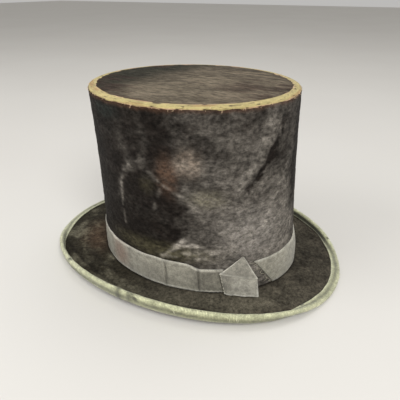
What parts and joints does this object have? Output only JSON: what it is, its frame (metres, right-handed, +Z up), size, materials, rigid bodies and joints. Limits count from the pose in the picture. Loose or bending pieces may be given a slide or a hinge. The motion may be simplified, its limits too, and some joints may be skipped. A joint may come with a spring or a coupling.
{
  "type": "top hat",
  "caption": "Tall stiff hat with a flat oval top, flared straight sides, a curled brim bound with ribbon, a ribbon band with a flat bow, and a lined inside with a leather sweatband.",
  "frame": {"origin": "middle of the brim's outline on the table it stands on, with the hat the right way up", "axes": "+Z up through the flat top, -Y towards the front of the hat, +X towards the wearer's left, which is the bow side"},
  "size_m": [0.2448, 0.3154, 0.1797],
  "materials": {
    "silk_plush": "worn black silk plush with a brushed nap",
    "faded_plush": "the same plush, faded and rubbed grey-brown",
    "stiff_cloth": "calico stiffened with shellac",
    "bare_cloth": "straw-coloured cloth laid bare by wear, matte",
    "under_cloth": "fine dull wool cloth",
    "binding_ribbon": "faded grosgrain ribbon, dull",
    "band_ribbon": "faded grosgrain ribbon, slight sheen",
    "sewing_thread": "waxed cotton thread",
    "lining_satin": "aged cream satin",
    "sweat_leather": "thin tan roan leather, polished by wear",
    "reed_cover": "oilcloth wrapped over a thin reed",
    "back_ribbon": "narrow silk ribbon"
  },
  "bodies": {
    "root": {"crown_shell": "stiff_cloth", "tip_shell": "stiff_cloth", "crown_plush": "silk_plush", "tip_plush": "faded_plush", "tip_edge_strip": "bare_cloth", "crown_joint_strip": "stiff_cloth", "brim_shell": "stiff_cloth", "brim_plush": "silk_plush", "brim_under_cover": "under_cloth", "brim_binding": "binding_ribbon", "hat_band": "band_ribbon", "bow_tab": "band_ribbon", "bow_stitches": "sewing_thread", "side_lining": "lining_satin", "tip_lining": "lining_satin", "sweatband": "sweat_leather", "sweatband_reed": "reed_cover", "sweatband_stitches": "sewing_thread", "sweatband_seam_tape": "back_ribbon", "sweatband_bow": "back_ribbon"}
  },
  "joints": []
}
